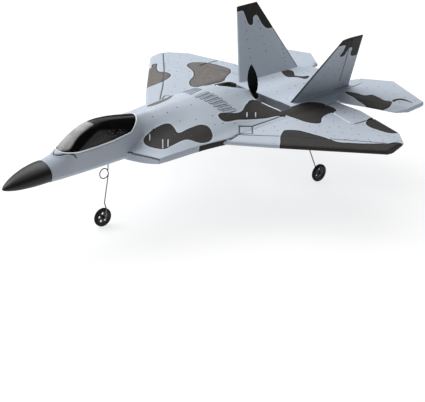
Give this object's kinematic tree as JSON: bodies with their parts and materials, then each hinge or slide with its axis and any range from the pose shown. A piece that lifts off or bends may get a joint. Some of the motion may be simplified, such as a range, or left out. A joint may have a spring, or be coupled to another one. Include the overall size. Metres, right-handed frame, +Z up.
{
  "type": "rc jet plane",
  "caption": "Foam model jet with canted twin fins, a pusher propeller in a slot behind the hump, hinged elevons, a lift-off canopy and fixed wire landing gear with rolling wheels",
  "frame": {"origin": "on the ground under the middle of the bounding box, midway between nose tip and tail and on the centreline", "axes": "+X towards the port wing tip, -Y towards the nose, +Z up; the wheels stand on Z = 0"},
  "size_m": [0.2918, 0.3692, 0.1255],
  "materials": {
    "foam_grey": "expanded foam, painted light blue-grey with dark grey camouflage patches",
    "cone_black": "satin black moulded plastic",
    "canopy_black": "gloss black vacuum-formed shell with a grey windshield panel",
    "prop_black": "satin black nylon",
    "wheel_black": "black moulded plastic",
    "tyre_black": "black sponge rubber",
    "wire_steel": "drawn steel wire",
    "motor_steel": "nickel-plated can",
    "mount_black": "black nylon",
    "carbon": "pultruded carbon tube",
    "screw_zinc": "zinc-plated screw",
    "magnet": "nickel-plated magnet",
    "battery_wrap": "shrink-wrapped cell, blue",
    "strap": "woven hook-and-loop strap",
    "lead_red": "silicone lead",
    "plug_white": "natural nylon connector",
    "pcb_green": "solder-masked circuit board",
    "pad_white": "soft foam pad",
    "servo_blue": "translucent blue servo case",
    "nylon_white": "white nylon"
  },
  "bodies": {
    "airframe": {"fuselage_upper": "foam_grey", "fuselage_lower": "foam_grey", "tail_underside": "foam_grey", "wing_left": "foam_grey", "wing_right": "foam_grey", "fin_left": "foam_grey", "fin_right": "foam_grey", "tailplane_left": "foam_grey", "tailplane_right": "foam_grey", "nose_cone": "cone_black", "nose_gear_wire": "wire_steel", "main_gear_wire_left": "wire_steel", "main_gear_wire_right": "wire_steel", "motor": "motor_steel", "motor_mount": "mount_black", "nose_gear_block": "mount_black", "main_gear_block_left": "mount_black", "main_gear_block_right": "mount_black", "nose_wheel_collars": "mount_black", "main_wheel_collars_left": "mount_black", "main_wheel_collars_right": "mount_black", "wing_spar": "carbon", "motor_mount_screws": "screw_zinc", "body_magnets": "magnet", "battery": "battery_wrap", "battery_strap": "strap", "battery_leads": "lead_red", "motor_leads": "lead_red", "battery_plug": "plug_white", "battery_socket": "plug_white", "board_pad": "pad_white", "flight_board": "pcb_green", "servo_left": "servo_blue", "servo_right": "servo_blue"},
    "propeller_unit": {"propeller": "prop_black", "motor_shaft": "motor_steel"},
    "nose_wheel_unit": {"nose_wheel": "wheel_black", "nose_tyre": "tyre_black"},
    "main_wheel_left_unit": {"main_wheel_left": "wheel_black", "main_tyre_left": "tyre_black"},
    "main_wheel_right_unit": {"main_wheel_right": "wheel_black", "main_tyre_right": "tyre_black"},
    "elevon_left_unit": {"elevon_left": "foam_grey", "elevon_hinge_rod_left": "wire_steel", "control_horn_left": "nylon_white"},
    "elevon_right_unit": {"elevon_right": "foam_grey", "elevon_hinge_rod_right": "wire_steel", "control_horn_right": "nylon_white"},
    "servo_arm_left_unit": {"servo_arm_left": "nylon_white"},
    "servo_arm_right_unit": {"servo_arm_right": "nylon_white"},
    "pushrod_left_unit": {"pushrod_left": "wire_steel"},
    "pushrod_right_unit": {"pushrod_right": "wire_steel"},
    "canopy_unit": {"canopy_hatch": "canopy_black", "hatch_magnets": "magnet"}
  },
  "joints": [
    {"name": "propeller_spin", "type": "hinge", "parent": "airframe", "child": "propeller_unit", "pos_m": [0, 0.06345, 0.0685], "axis": [0, 1, 0], "continuous": true},
    {"name": "nose_wheel_spin", "type": "hinge", "parent": "airframe", "child": "nose_wheel_unit", "pos_m": [0, -0.09815, 0.0077], "axis": [1, 0, 0], "continuous": true},
    {"name": "main_wheel_left_spin", "type": "hinge", "parent": "airframe", "child": "main_wheel_left_unit", "pos_m": [0.0545, 0.08975, 0.0077], "axis": [1, 0, 0], "continuous": true},
    {"name": "main_wheel_right_spin", "type": "hinge", "parent": "airframe", "child": "main_wheel_right_unit", "pos_m": [-0.0545, 0.08975, 0.0077], "axis": [1, 0, 0], "continuous": true},
    {"name": "elevon_left_hinge", "type": "hinge", "parent": "airframe", "child": "elevon_left_unit", "pos_m": [0.073, 0.09147, 0.0641], "axis": [0.9745, -0.2243, 0], "range_deg": [-20, 20]},
    {"name": "elevon_right_hinge", "type": "hinge", "parent": "airframe", "child": "elevon_right_unit", "pos_m": [-0.073, 0.09147, 0.0641], "axis": [0.9745, 0.2243, 0], "range_deg": [-20, 20]},
    {"name": "servo_arm_left_turn", "type": "hinge", "parent": "airframe", "child": "servo_arm_left_unit", "pos_m": [0.0498, 0.03745, 0.0611], "axis": [1, 0, 0], "range_deg": [-30, 30]},
    {"name": "pushrod_left_pivot", "type": "hinge", "parent": "servo_arm_left_unit", "child": "pushrod_left_unit", "pos_m": [0.0498, 0.03745, 0.0551], "axis": [1, 0, 0], "range_deg": [-30, 30]},
    {"name": "servo_arm_right_turn", "type": "hinge", "parent": "airframe", "child": "servo_arm_right_unit", "pos_m": [-0.0498, 0.03745, 0.0611], "axis": [1, 0, 0], "range_deg": [-30, 30]},
    {"name": "pushrod_right_pivot", "type": "hinge", "parent": "servo_arm_right_unit", "child": "pushrod_right_unit", "pos_m": [-0.0498, 0.03745, 0.0551], "axis": [1, 0, 0], "range_deg": [-30, 30]},
    {"name": "canopy_lift", "type": "slide", "parent": "airframe", "child": "canopy_unit", "axis": [0, 0, 1], "range_m": [0, 0.03]}
  ],
  "couplings": [
    {"joint": "servo_arm_left_turn", "follows": "elevon_left_hinge", "ratio": 1.5},
    {"joint": "pushrod_left_pivot", "follows": "elevon_left_hinge", "ratio": -1.5},
    {"joint": "servo_arm_right_turn", "follows": "elevon_right_hinge", "ratio": 1.5},
    {"joint": "pushrod_right_pivot", "follows": "elevon_right_hinge", "ratio": -1.5}
  ]
}
